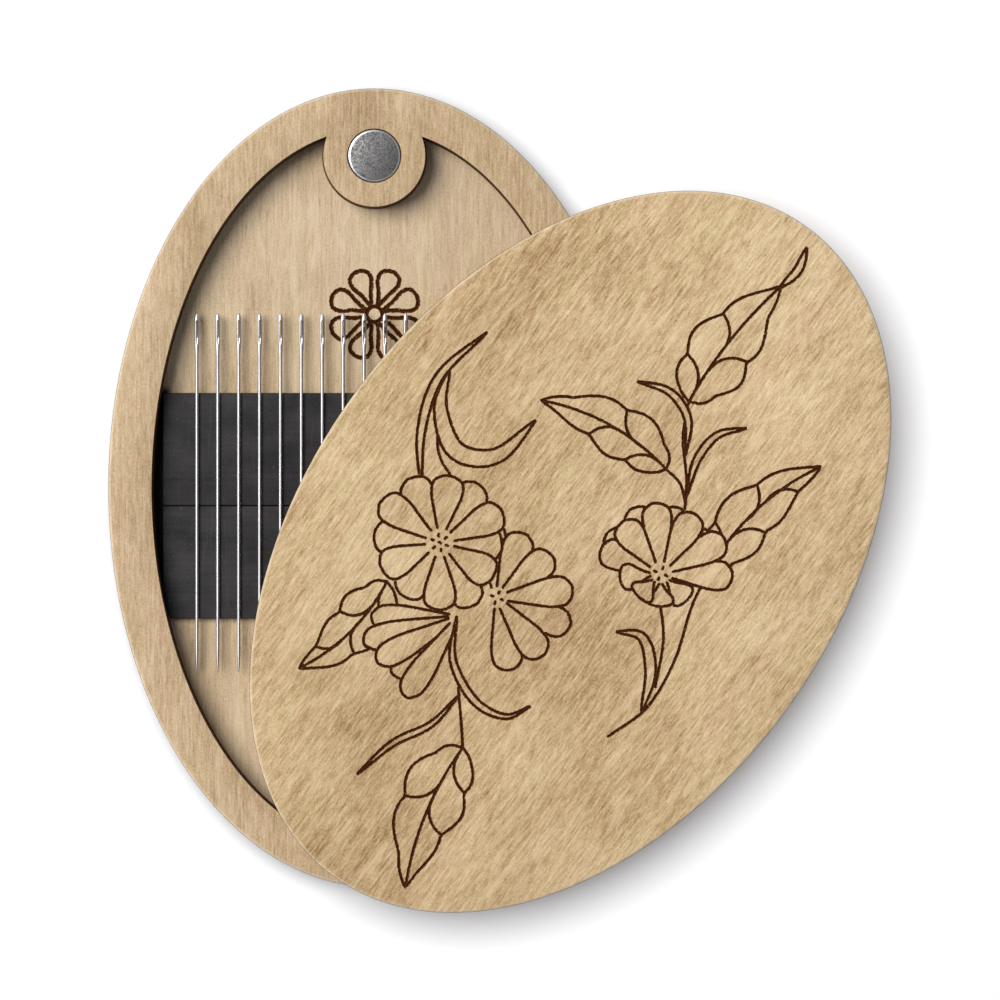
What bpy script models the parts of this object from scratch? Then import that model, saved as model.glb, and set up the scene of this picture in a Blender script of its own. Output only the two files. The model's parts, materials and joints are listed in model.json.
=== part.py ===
"""Oval plywood needle case with a lid that swivels on a hidden pair of magnets.

The case is two equal halves of laser-cut birch plywood. Each half is a solid oval plate glued to an
oval frame, and each frame carries a round magnet boss at both ends. The base holds two strips of
magnetic sheet with a row of needles on them. The lid turns about the lower magnets and closes on
the upper ones. Metres, +Z up, +Y towards the closing magnet, origin at the centre of the underside.
"""

import math

import bmesh
import bpy

# The oval outline, shared by the base and the lid.
CASE_HALF_WIDTH = 0.0300
CASE_HALF_LENGTH = 0.0450
RECESS_HALF_WIDTH = 0.02505
RECESS_HALF_LENGTH = 0.04045
PLY_THICKNESS = 0.0030
GLUE_LINE = 0.0001
OVAL_SIDES = 96

# The disc magnets and the bosses that hold them.
MAGNET_OFFSET = 0.0374
MAGNET_RADIUS = 0.0030
MAGNET_CHAMFER = 0.0002
MAGNET_HOLE_RADIUS = 0.0031
BOSS_RADIUS = 0.0058
ROUND_SIDES = 48

# The magnetic sheet: two strips side by side, with their lower corners trimmed to the recess.
STRIP_HALF_LENGTH = 0.0239
STRIP_WIDTH = 0.0127
STRIP_THICKNESS = 0.0008
STRIP_JOINT = 0.0001
STRIPS_TOP = 0.0107
STRIP_TRIM_ACROSS = 0.0008
STRIP_TRIM_ALONG = 0.0032

# The needles.
NEEDLE_COUNT = 18
NEEDLE_PITCH = 0.00236
NEEDLE_LENGTH = 0.0406
NEEDLE_EYE_END = 0.0197
NEEDLE_RADIUS = 0.0002
NEEDLE_HEAD_HALF_WIDTH = 0.0003
NEEDLE_HEAD_END_ROUND = 0.0005
NEEDLE_HEAD_END_SHARE = 0.3
NEEDLE_HEAD_TAPER = (0.0028, 0.0052)
NEEDLE_POINT_LENGTH = 0.003
NEEDLE_POINT_POWER = 0.5
NEEDLE_POINT_STATIONS = (1, 0.6, 0.25, 0.08, 0)
NEEDLE_TIP_RADIUS = 0.00002
NEEDLE_REST_GAP = 0.00003
NEEDLE_SIDES = 8
EYE_FROM_END = 0.00075
EYE_LENGTH = 0.0021
EYE_HALF_WIDTH = 0.00011
EYE_END_SIDES = 6

# How far the lid is turned from closed, clockwise seen from above.
LID_OPEN_ANGLE = math.radians(36.13)

# A cutter runs this far past the faces it cuts.
CUTTER_SPARE = 0.001

# Faces that meet at less than this angle are shaded as one smooth surface.
SMOOTH_ANGLE = math.radians(30)

# Heights, worked out from the layers.
BASE_FRAME_BOTTOM = PLY_THICKNESS + GLUE_LINE
LID_FRAME_BOTTOM = BASE_FRAME_BOTTOM + PLY_THICKNESS + GLUE_LINE
LID_PLATE_BOTTOM = LID_FRAME_BOTTOM + PLY_THICKNESS + GLUE_LINE
STRIP_TOP_FACE = BASE_FRAME_BOTTOM + STRIP_THICKNESS
NEEDLE_AXIS_HEIGHT = STRIP_TOP_FACE + NEEDLE_REST_GAP + NEEDLE_RADIUS


def clear_scene():
    for obj in list(bpy.data.objects):
        bpy.data.objects.remove(obj)


def make_material(name, colour, roughness, metallic):
    material = bpy.data.materials.new(name)
    material.use_nodes = True
    shader = material.node_tree.nodes["Principled BSDF"]
    shader.inputs["Base Color"].default_value = (*colour, 1.0)
    shader.inputs["Roughness"].default_value = roughness
    shader.inputs["Metallic"].default_value = metallic
    return material


def add_object(name, mesh, material=None):
    obj = bpy.data.objects.new(name, mesh)
    bpy.context.scene.collection.objects.link(obj)
    if material and not mesh.materials:
        mesh.materials.append(material)
    return obj


def oval_outline(half_width, half_length, sides):
    turns = [2 * math.pi * step / sides for step in range(sides)]
    return [(half_width * math.cos(turn), half_length * math.sin(turn)) for turn in turns]


def prism_mesh(name, outline, bottom, top):
    """A flat outline, anticlockwise seen from above, drawn up from bottom to top."""
    shape = bmesh.new()
    corners = [shape.verts.new((x, y, bottom)) for x, y in outline]
    floor = shape.faces.new(corners)
    raised = bmesh.ops.extrude_face_region(shape, geom=[floor], use_keep_orig=True)["geom"]
    lifted = [item for item in raised if isinstance(item, bmesh.types.BMVert)]
    bmesh.ops.translate(shape, verts=lifted, vec=(0, 0, top - bottom))
    bmesh.ops.recalc_face_normals(shape, faces=shape.faces)
    mesh = bpy.data.meshes.new(name)
    shape.to_mesh(mesh)
    shape.free()
    return mesh


def shade_round(mesh):
    mesh.shade_smooth()
    mesh.set_sharp_from_angle(angle=SMOOTH_ANGLE)


def make_cutter(name, outline, bottom, top):
    cutter = add_object(name, prism_mesh(name, outline, bottom - CUTTER_SPARE, top + CUTTER_SPARE))
    cutter.hide_render = True
    cutter.display_type = "WIRE"
    return cutter


def cut(target, cutter):
    boolean = target.modifiers.new("cut_" + cutter.name, "BOOLEAN")
    boolean.operation = "DIFFERENCE"
    boolean.solver = "EXACT"
    boolean.object = cutter


def circle_outline(radius, centre_y):
    outline = oval_outline(radius, radius, ROUND_SIDES)
    return [(x, y + centre_y) for x, y in outline]


def make_plate(name, bottom, material):
    outline = oval_outline(CASE_HALF_WIDTH, CASE_HALF_LENGTH, OVAL_SIDES)
    mesh = prism_mesh(name, outline, bottom, bottom + PLY_THICKNESS)
    shade_round(mesh)
    return add_object(name, mesh, material)


def make_recess_cutter(name, bottom, top):
    """The oval hollow of a frame, less the two bosses that stand into it."""
    outline = oval_outline(RECESS_HALF_WIDTH, RECESS_HALF_LENGTH, OVAL_SIDES)
    recess = make_cutter(name, outline, bottom, top)
    for end, centre_y in (("upper", MAGNET_OFFSET), ("lower", -MAGNET_OFFSET)):
        outline = circle_outline(BOSS_RADIUS, centre_y)
        boss = make_cutter(f"{name}_{end}_boss", outline, bottom - CUTTER_SPARE, top + CUTTER_SPARE)
        cut(recess, boss)
    return recess


def make_frame(name, bottom, material):
    """An oval frame with a boss and a magnet hole at each end."""
    top = bottom + PLY_THICKNESS
    frame = make_plate(name, bottom, material)
    cutters = [make_recess_cutter(name + "_recess", bottom, top)]
    for end, centre_y in (("upper", MAGNET_OFFSET), ("lower", -MAGNET_OFFSET)):
        outline = circle_outline(MAGNET_HOLE_RADIUS, centre_y)
        cutters.append(make_cutter(f"{name}_{end}_hole", outline, bottom, top))
    for cutter in cutters:
        cut(frame, cutter)
    return frame


def make_magnet(name, centre_y, bottom, material):
    """A disc magnet with its rims chamfered, its origin at its centre."""
    half_height = PLY_THICKNESS / 2
    outline = circle_outline(MAGNET_RADIUS, 0)
    mesh = prism_mesh(name, outline, -half_height, half_height)
    shape = bmesh.new()
    shape.from_mesh(mesh)
    rims = [edge for edge in shape.edges if abs(edge.verts[0].co.z - edge.verts[1].co.z) < half_height]
    bmesh.ops.bevel(shape, geom=rims, offset=MAGNET_CHAMFER, segments=1, affect="EDGES")
    shape.to_mesh(mesh)
    shape.free()
    shade_round(mesh)
    magnet = add_object(name, mesh, material)
    magnet.location = (0, centre_y, bottom + half_height)
    return magnet


def make_strip(name, top_edge, trimmed, material):
    """One strip of magnetic sheet. A trimmed strip has its two lower corners cut off."""
    bottom_edge = top_edge - STRIP_WIDTH
    right_side = [(STRIP_HALF_LENGTH, bottom_edge), (STRIP_HALF_LENGTH, top_edge)]
    if trimmed:
        right_side[0] = (STRIP_HALF_LENGTH - STRIP_TRIM_ACROSS, bottom_edge)
        right_side.insert(1, (STRIP_HALF_LENGTH, bottom_edge + STRIP_TRIM_ALONG))
    left_side = [(-x, y) for x, y in reversed(right_side)]
    mesh = prism_mesh(name, right_side + left_side, BASE_FRAME_BOTTOM, STRIP_TOP_FACE)
    return add_object(name, mesh, material)


def smooth_step(low, high, value):
    share = min(max((value - low) / (high - low), 0), 1)
    return share * share * (3 - 2 * share)


def needle_section(from_eye_end):
    """Half the width and half the thickness of a needle at this distance from its eye end."""
    shaft_share = smooth_step(*NEEDLE_HEAD_TAPER, from_eye_end)
    half_width = NEEDLE_HEAD_HALF_WIDTH + (NEEDLE_RADIUS - NEEDLE_HEAD_HALF_WIDTH) * shaft_share
    half_thickness = NEEDLE_RADIUS
    if from_eye_end < NEEDLE_HEAD_END_ROUND:
        along = from_eye_end / NEEDLE_HEAD_END_ROUND
        rounding = max(math.sqrt(1 - (1 - along) ** 2), NEEDLE_HEAD_END_SHARE)
        half_width *= rounding
        half_thickness *= rounding
    from_tip = NEEDLE_LENGTH - from_eye_end
    if from_tip < NEEDLE_POINT_LENGTH:
        swell = (from_tip / NEEDLE_POINT_LENGTH) ** NEEDLE_POINT_POWER
        half_width = half_thickness = NEEDLE_TIP_RADIUS + (NEEDLE_RADIUS - NEEDLE_TIP_RADIUS) * swell
    return half_width, half_thickness


def needle_stations():
    """Distances from the eye end at which the needle's outline changes."""
    head = [0, NEEDLE_HEAD_END_ROUND / 3, NEEDLE_HEAD_END_ROUND, NEEDLE_HEAD_TAPER[0]]
    taper_middle = sum(NEEDLE_HEAD_TAPER) / 2
    point = [NEEDLE_LENGTH - NEEDLE_POINT_LENGTH * share for share in NEEDLE_POINT_STATIONS]
    return head + [taper_middle, NEEDLE_HEAD_TAPER[1]] + point


def make_needle_blank(name):
    """A needle with no eye, from its eye end at y = 0 to its tip."""
    shape = bmesh.new()
    rings = []
    for station in needle_stations():
        half_width, half_thickness = needle_section(station)
        turns = [2 * math.pi * (step + 0.5) / NEEDLE_SIDES for step in range(NEEDLE_SIDES)]
        rings.append(
            [
                shape.verts.new((half_width * math.cos(turn), -station, half_thickness * math.sin(turn)))
                for turn in turns
            ]
        )
    for first, second in zip(rings, rings[1:]):
        for side in range(NEEDLE_SIDES):
            after = (side + 1) % NEEDLE_SIDES
            shape.faces.new((first[side], first[after], second[after], second[side]))
    shape.faces.new(rings[0])
    shape.faces.new(rings[-1])
    bmesh.ops.recalc_face_normals(shape, faces=shape.faces)
    mesh = bpy.data.meshes.new(name)
    shape.to_mesh(mesh)
    shape.free()
    shade_round(mesh)
    return mesh


def eye_outline():
    """A slot with round ends, along the needle."""
    straight_top = -EYE_FROM_END - EYE_HALF_WIDTH
    straight_bottom = -EYE_FROM_END - EYE_LENGTH + EYE_HALF_WIDTH
    outline = []
    for centre_y, start in ((straight_top, 0), (straight_bottom, math.pi)):
        for step in range(EYE_END_SIDES + 1):
            turn = start + math.pi * step / EYE_END_SIDES
            x = EYE_HALF_WIDTH * math.cos(turn)
            outline.append((x, centre_y + EYE_HALF_WIDTH * math.sin(turn)))
    return outline


def make_needle_mesh(material):
    """The mesh that every needle shares: the blank with its eye cut through."""
    blank = add_object("needle_blank", make_needle_blank("needle_blank"), material)
    cutter = make_cutter("needle_eye", eye_outline(), -NEEDLE_RADIUS, NEEDLE_RADIUS)
    cut(blank, cutter)
    graph = bpy.context.evaluated_depsgraph_get()
    mesh = bpy.data.meshes.new_from_object(blank.evaluated_get(graph))
    mesh.name = "needle"
    bpy.data.objects.remove(blank)
    bpy.data.objects.remove(cutter)
    return mesh


def make_needles(material):
    mesh = make_needle_mesh(material)
    first_x = -NEEDLE_PITCH * (NEEDLE_COUNT - 1) / 2
    for number in range(NEEDLE_COUNT):
        needle = add_object(f"needle_{number + 1:02d}", mesh, material)
        needle.location = (first_x + NEEDLE_PITCH * number, NEEDLE_EYE_END, NEEDLE_AXIS_HEIGHT)


def make_lid_axis():
    """The empty on the swivel axis that holds the lid open."""
    axis = bpy.data.objects.new("lid_swivel_axis", None)
    bpy.context.scene.collection.objects.link(axis)
    axis.location = (0, -MAGNET_OFFSET, 0)
    axis.rotation_euler.z = -LID_OPEN_ANGLE
    return axis


def hang_on_axis(obj, axis):
    """Parents a piece modelled in the closed case, so that it turns with the axis."""
    obj.parent = axis
    obj.location.y += MAGNET_OFFSET


def make_base(plywood, nickel, magnetic_sheet, steel):
    make_plate("base_plate", 0, plywood)
    make_frame("base_frame", BASE_FRAME_BOTTOM, plywood)
    make_magnet("base_closing_magnet", MAGNET_OFFSET, BASE_FRAME_BOTTOM, nickel)
    make_magnet("base_pivot_magnet", -MAGNET_OFFSET, BASE_FRAME_BOTTOM, nickel)
    make_strip("magnet_strip_upper", STRIPS_TOP, False, magnetic_sheet)
    make_strip("magnet_strip_lower", STRIPS_TOP - STRIP_WIDTH - STRIP_JOINT, True, magnetic_sheet)
    make_needles(steel)


def make_lid(plywood, nickel):
    axis = make_lid_axis()
    frame = make_frame("lid_frame", LID_FRAME_BOTTOM, plywood)
    plate = make_plate("lid_plate", LID_PLATE_BOTTOM, plywood)
    closing = make_magnet("lid_closing_magnet", MAGNET_OFFSET, LID_FRAME_BOTTOM, nickel)
    pivot = make_magnet("lid_pivot_magnet", -MAGNET_OFFSET, LID_FRAME_BOTTOM, nickel)
    for piece in (frame, plate, closing, pivot):
        hang_on_axis(piece, axis)
    for modifier in frame.modifiers:
        hang_on_axis(modifier.object, axis)
        for inner in modifier.object.modifiers:
            hang_on_axis(inner.object, axis)


clear_scene()
plywood = make_material("birch_plywood", (0.57, 0.41, 0.25), 0.6, 0.0)
nickel = make_material("nickel_plating", (0.62, 0.61, 0.60), 0.3, 1.0)
magnetic_sheet = make_material("magnetic_sheet", (0.035, 0.035, 0.037), 0.6, 0.0)
steel = make_material("needle_steel", (0.75, 0.75, 0.74), 0.2, 1.0)
make_base(plywood, nickel, magnetic_sheet, steel)
make_lid(plywood, nickel)
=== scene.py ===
import json
import math

import bmesh
import bpy
import numpy as np
from mathutils import Euler, Matrix, Vector
from mathutils.geometry import delaunay_2d_cdt
from mathutils.kdtree import KDTree


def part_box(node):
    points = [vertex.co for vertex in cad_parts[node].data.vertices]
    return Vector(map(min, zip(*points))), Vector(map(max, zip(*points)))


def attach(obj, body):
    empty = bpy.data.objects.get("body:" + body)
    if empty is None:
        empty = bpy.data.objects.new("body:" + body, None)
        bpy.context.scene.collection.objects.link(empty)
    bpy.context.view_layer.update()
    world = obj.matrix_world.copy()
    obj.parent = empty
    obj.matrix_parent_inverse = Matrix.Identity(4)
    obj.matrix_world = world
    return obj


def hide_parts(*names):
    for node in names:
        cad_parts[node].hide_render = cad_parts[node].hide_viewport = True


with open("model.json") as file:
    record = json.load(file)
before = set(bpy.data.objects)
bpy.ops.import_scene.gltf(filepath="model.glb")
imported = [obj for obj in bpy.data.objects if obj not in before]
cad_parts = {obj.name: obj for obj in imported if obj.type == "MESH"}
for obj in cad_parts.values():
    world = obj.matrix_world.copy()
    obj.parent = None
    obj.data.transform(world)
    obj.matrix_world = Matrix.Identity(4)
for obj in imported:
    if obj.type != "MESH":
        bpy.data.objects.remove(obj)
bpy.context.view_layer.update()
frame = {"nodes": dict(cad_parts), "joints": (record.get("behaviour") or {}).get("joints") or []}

MM = 0.001

# Points this close in metres are one point, and the fill of a flat face works to the second value.
WELD_DISTANCE = 1e-7
FILL_TOLERANCE = 1e-6

# Sizes that the CAD boxes don't give, in metres.
BOX_CLEARANCE = 0.00001
RIM_WIDTH_SIDE = 0.00495
RIM_WIDTH_END = 0.00455
BOSS_RADIUS = 0.0058
MAGNET_HOLE_RADIUS = 0.00301
OUTER_EDGE_EASE = 0.00035
INNER_EDGE_EASE = 0.00006
WALL_TAPER = 0.00013
MAGNET_CHAMFER = 0.0002
STRIP_EDGE_EASE = 0.00012
UPPER_STRIP_TRIMS = (0.0002, 0.0002)
LOWER_STRIP_TRIMS = (0.0008, 0.0032)
NEEDLE_RADIUS = 0.0002
NEEDLE_POINT_LENGTH = 0.003
NEEDLE_CROWN_LENGTH = 0.0008
NEEDLE_HEAD_LENGTH = 0.0028
NEEDLE_NECK_LENGTH = 0.0024
HEAD_THICKNESS_SHARE = 0.88
EYE_FROM_END = 0.00078
EYE_LENGTH = 0.00206
EYE_HALF_WIDTH = 0.00014
EYE_WAIST_SHARE = 0.25
GUTTER_HALF_LENGTH = 0.00075
GUTTER_HALF_WIDTH = 0.00015
GUTTER_DEPTH = 0.4 * NEEDLE_RADIUS

# How far in and how far down a magnet's soft edge passes, in chamfers.
CHAMFER_PROFILE = ((1.7, 0), (1.5, 0.03), (1.1, 0.14), (0.6, 0.33), (0.25, 0.6), (0.07, 0.9), (0, 1.3))
# How far in from a magnet's edge its rim is painted near white as a painted highlight, in chamfers.
MAGNET_HIGHLIGHT_REACH = 1.4

# The engraving, in millimetres. A groove is (half width, depth).
STROKE_STEP = 0.36
LEAF_LOBES = 3
LID_GROOVE = (0.16, 0.14)
FLOOR_GROOVE = (0.22, 0.15)
GROOVE_SAMPLE = 0.05
ROSETTE_CENTRE = (0, 19.6)

# The scorch fades out between these distances from a stroke, in half widths.
SCORCH_START = 0.8
SCORCH_REACH = 1.4

# The plies' height in a sheet, and how far apart the sheets lie in the wood's pattern, in millimetres.
SHEET_THICKNESS = 3.0
SHEET_SPACING = 80
STRIP_SPACING = 60

# Points round a full circle or oval.
OVAL_POINTS = 240
ROUND_POINTS = 96
NEEDLE_POINTS = 24

# Steps along a quarter of the recess's oval in the search for the boss's corner.
CORNER_SEARCH_STEPS = 20000

# The studio, in metres. A light is (tilt, turn, diameter, power), in degrees and watts.
CAMERA_PLACE = (0.01417, -0.0014, 0.906)
CAMERA_LENS = 287.5
LIGHT_DISTANCE = 2.0
OBJECT_KEY = (36, 25, 1.5, 40.5)
FLOOR_KEY = (12, 42, 1.2, 41)
FLOOR_REACH = 4.0
PAPER_COLOUR = (0.93, 0.93, 0.93, 1)
WALL_COLOUR = (0.59, 0.62, 0.68, 1)
CEILING_COLOUR = (0.11, 0.12, 0.14, 1)


# --- What the frame says ---------------------------------------------------------------------------


def lid_rest_matrix():
    """Turns a piece modelled in the closed case to where the lid lies at rest."""
    swivel = next(joint for joint in frame["joints"] if joint["name"] == "lid_swivel")
    pivot = Vector((swivel["pos_m"][0], swivel["pos_m"][1], 0))
    turn = Matrix.Rotation(math.radians(swivel["range_deg"][0]), 4, "Z")
    return Matrix.Translation(pivot) @ turn @ Matrix.Translation(-pivot)


LID_REST = lid_rest_matrix()
CASE_HALF_WIDTH, CASE_HALF_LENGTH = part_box("base_plate")[1][:2]
RECESS_HALF_WIDTH = CASE_HALF_WIDTH - RIM_WIDTH_SIDE
RECESS_HALF_LENGTH = CASE_HALF_LENGTH - RIM_WIDTH_END
MAGNET_OFFSET = sum(corner.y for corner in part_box("base_closing_magnet")) / 2
MAGNET_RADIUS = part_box("base_closing_magnet")[1].x


def heights(node):
    """The lowest and highest point of a CAD node."""
    return [corner.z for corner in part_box(node)]


# --- Outlines, anticlockwise, in metres ------------------------------------------------------------


def oval(half_width, half_length, count, centre=(0, 0)):
    """An ellipse of this many points, from its right-hand end."""
    turns = np.arange(count) * 2 * math.pi / count
    return np.column_stack([half_width * np.cos(turns), half_length * np.sin(turns)]) + centre


def case_outline():
    """The outside of the case, a hair inside the CAD's own."""
    return oval(CASE_HALF_WIDTH - BOX_CLEARANCE, CASE_HALF_LENGTH - BOX_CLEARANCE, OVAL_POINTS)


def magnet_holes():
    radius = MAGNET_HOLE_RADIUS
    return [oval(radius, radius, ROUND_POINTS, (0, side * MAGNET_OFFSET)) for side in (1, -1)]


def boss_corner_turn():
    """The oval angle at which the recess's edge meets the boss at the closing end."""
    turns = np.linspace(0, math.pi / 2, CORNER_SEARCH_STEPS)
    across = RECESS_HALF_WIDTH * np.cos(turns)
    along = RECESS_HALF_LENGTH * np.sin(turns) - MAGNET_OFFSET
    return turns[np.argmax(np.hypot(across, along) < BOSS_RADIUS)]


def recess_outline():
    """The frame's inner edge: an oval with a round boss standing in at each end."""
    corner_turn = boss_corner_turn()
    turns = np.linspace(-corner_turn, corner_turn, OVAL_POINTS // 2)
    side = np.column_stack([RECESS_HALF_WIDTH * np.cos(turns), RECESS_HALF_LENGTH * np.sin(turns)])
    start = math.atan2(side[-1][1] - MAGNET_OFFSET, side[-1][0])
    turns = np.linspace(start, -math.pi - start, ROUND_POINTS // 2)[1:-1]
    boss = np.column_stack([BOSS_RADIUS * np.cos(turns), MAGNET_OFFSET + BOSS_RADIUS * np.sin(turns)])
    half = np.vstack([side, boss])
    return np.vstack([half, -half])


def frame_holes():
    """Each hole in a frame, with how far its wall leans in on the way down."""
    return [(recess_outline(), WALL_TAPER), *[(hole, 0) for hole in magnet_holes()]]


def offset_outline(outline, distance):
    """Moves a closed outline outwards by this distance."""
    before = outline - np.roll(outline, 1, axis=0)
    after = np.roll(outline, -1, axis=0) - outline
    before /= np.linalg.norm(before, axis=1)[:, None]
    after /= np.linalg.norm(after, axis=1)[:, None]
    along = before + after
    length = np.linalg.norm(along, axis=1)
    stretch = distance / (length * np.maximum(length / 2, 0.5))
    return outline + np.column_stack([along[:, 1], -along[:, 0]]) * stretch[:, None]


# --- Line art, in millimetres ----------------------------------------------------------------------


def inside(points, outline):
    """Which points lie inside a closed outline."""
    x, y = points[:, :1], points[:, 1:]
    x0, y0 = outline[:, 0], outline[:, 1]
    x1, y1 = np.roll(x0, -1), np.roll(y0, -1)
    rise = np.where(y1 == y0, 1, y1 - y0)
    crosses = ((y0 > y) != (y1 > y)) & (x < (x1 - x0) * (y - y0) / rise + x0)
    return crosses.sum(axis=1) % 2 == 1


def resampled(points, step):
    """The same line with points this far apart."""
    points = np.asarray(points, float)
    along = np.concatenate([[0], np.cumsum(np.linalg.norm(np.diff(points, axis=0), axis=1))])
    wanted = np.linspace(0, along[-1], max(round(along[-1] / step), 2) + 1)
    return np.column_stack([np.interp(wanted, along, points[:, axis]) for axis in (0, 1)])


def curve(*knots):
    """A smooth line through the knots."""
    knots = np.asarray(knots, float)
    padded = np.vstack([2 * knots[0] - knots[1], knots, 2 * knots[-1] - knots[-2]])
    share = np.linspace(0, 1, 12, endpoint=False)[:, None]
    runs = []
    for a, b, c, d in zip(padded, padded[1:], padded[2:], padded[3:]):
        cubic = (3 * b - a - 3 * c + d) * share**3
        square = (2 * a - 5 * b + 4 * c - d) * share**2
        runs.append(b + ((c - a) * share + square + cubic) / 2)
    return resampled(np.vstack(runs + [knots[-1:]]), STROKE_STEP)


def beside(line, distances):
    """The line moved to its left by these distances."""
    along = np.gradient(line, axis=0)
    along /= np.linalg.norm(along, axis=1)[:, None]
    return line + np.column_stack([-along[:, 1], along[:, 0]]) * np.reshape(distances, (-1, 1))


def turned(points, angle, centre):
    """Turned anticlockwise by this many degrees about the origin, then moved to the centre."""
    cosine, sine = math.cos(math.radians(angle)), math.sin(math.radians(angle))
    return np.asarray(points, float) @ np.array([[cosine, sine], [-sine, cosine]]) + centre


class Drawing:
    """Line art laid down from front to back: a later stroke stops where it runs behind a shape."""

    def __init__(self):
        self.strokes = []
        self.shapes = []

    def stroke(self, line):
        hidden = np.zeros(len(line), bool)
        for shape in self.shapes:
            hidden |= inside(line, shape)
        start = 0
        for index in np.flatnonzero(np.append(hidden, True)):
            if index - start > 1:
                self.strokes.append(line[start:index])
            start = index + 1

    def shape(self, outline, *lines):
        """A closed outline with lines on it, which hides whatever is drawn after it."""
        for line in (outline, *lines):
            self.stroke(line)
        self.shapes.append(outline)

    def dots(self, centre, radius, count):
        """Short dashes on a circle, which nothing hides."""
        dash = [(radius - 0.12, 0), (radius, 0.04), (radius + 0.12, 0)]
        for turn in np.arange(count) * 360 / count + 14:
            self.strokes.append(turned(dash, turn, centre))


def draw_petal(drawing, centre, angle, root, reach, half_width, lean=0.0, foot=0.12):
    """A round-ended petal that points at this angle. Its foot is this share of its full width."""
    side = ((0, foot), (0.3, foot + 0.32), (0.62, 0.92), (0.86, 0.9), (0.97, 0.46))
    right = [(root + (reach - root) * along, -half_width * across) for along, across in side]
    left = [(x, -y) for x, y in reversed(right)]
    outline = curve(*right, (reach, lean * half_width), *left)
    drawing.shape(turned(outline, angle, centre))


def draw_daisy(drawing, centre, radius, angles, half_width, root):
    """Petals at these angles, the first ones in front. Each is a little longer or shorter than the last."""
    for number, angle in enumerate(angles):
        sway = math.sin(2.4 * number + 0.6)
        reach = radius * (1 + 0.07 * sway)
        draw_petal(drawing, centre, angle, root, reach, half_width, lean=0.25 * sway, foot=0.28)


def bowed(start, tip, bow):
    """A line from start to tip that bows to its left by this share of its length."""
    start, tip = np.asarray(start, float), np.asarray(tip, float)
    across = bow * np.array([start[1] - tip[1], tip[0] - start[0]])
    shares = np.linspace(0, 1, 7)
    return curve(*(start + share * (tip - start) + 4 * share * (1 - share) * across for share in shares))


def draw_leaf(drawing, start, tip, half_width, bow):
    """A pointed leaf with a scalloped margin, a midrib, and a vein to each notch of the margin."""
    rib = bowed(start, tip, bow)
    share = np.linspace(0, 1, len(rib))
    belly = half_width * np.sin(math.pi * share**0.75) ** 0.75 * (1 - 0.3 * share**2)
    margins = []
    veins = [rib]
    count = len(rib)
    for side, shift in ((1, 0.1), (-1, 0.55)):
        scallop = np.abs(np.sin(math.pi * (LEAF_LOBES * share**0.9 + shift)))
        margin = beside(rib, side * belly * (0.82 + 0.24 * scallop))
        margins.append(margin)
        for notch in range(int(0.25 * count), int(0.8 * count)):
            if scallop[notch] < min(scallop[notch - 1], scallop[notch + 1]):
                root = rib[notch - int(0.22 * count)]
                veins.append(bowed(root, margin[notch], -0.2 * side))
    drawing.shape(np.vstack([margins[0], margins[1][::-1]]), *veins)


def draw_blade(drawing, line, half_width):
    """A slender blade of two lines that meet at both ends."""
    belly = half_width * np.sin(math.pi * np.linspace(0, 1, len(line))) ** 0.8
    drawing.shape(np.vstack([beside(line, belly), beside(line, -belly)[::-1]]))


def lid_strokes():
    """Two flowering sprays that face each other across the lid."""
    drawing = Drawing()
    draw_left_spray(drawing)
    draw_right_spray(drawing)
    return drawing.strokes


def draw_left_spray(drawing):
    heart = (-12.4, -7.8)
    angles = [62, 118, 4, 180, 240, 306, 92, 34, 150, 210, 272, 334]
    drawing.dots(heart, 0.0, 1)
    drawing.dots(heart, 0.85, 6)
    draw_daisy(drawing, heart, 7.5, angles, 1.85, 1.6)
    draw_blade(drawing, curve((-6.0, -13.4), (-3.4, -17.6), (1.2, -19.8), (5.0, -19.2), (6.6, -16.6)), 0.42)
    drawing.dots((-3.6, -9.0), 0.6, 4)
    draw_daisy(drawing, (-3.6, -9.0), 8.2, [42, -16, 74, 14, 104, -44, 132], 1.75, 1.2)
    draw_daisy(drawing, (-5.8, -13.4), 10.2, [-88, -116, -102, -130, -144], 1.5, 1.0)
    draw_leaf(drawing, (-14.6, -14.8), (-16.8, -28.4), 3.1, 0.08)
    draw_leaf(drawing, (3.2, -24.8), (7.2, -41.2), 3.8, -0.06)
    draw_blade(drawing, curve((-17.6, -4.2), (-21.4, 1.0), (-23.4, 7.2), (-22.0, 14.4)), 0.5)
    draw_blade(drawing, curve((-23.0, 8.6), (-21.2, 4.4), (-17.0, 1.6), (-13.0, 3.8), (-11.8, 9.6)), 1.0)
    draw_blade(drawing, curve((-0.6, -20.3), (-1.2, -24.8), (-3.4, -29.0), (-4.6, -34.2)), 0.36)
    drawing.stroke(curve((-1.8, -18.8), (-0.4, -20.6), (1.2, -22.4), (3.2, -24.8)))
    drawing.stroke(curve((-15.4, -1.2), (-18.6, 0.4), (-21.6, 4.8)))


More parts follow.
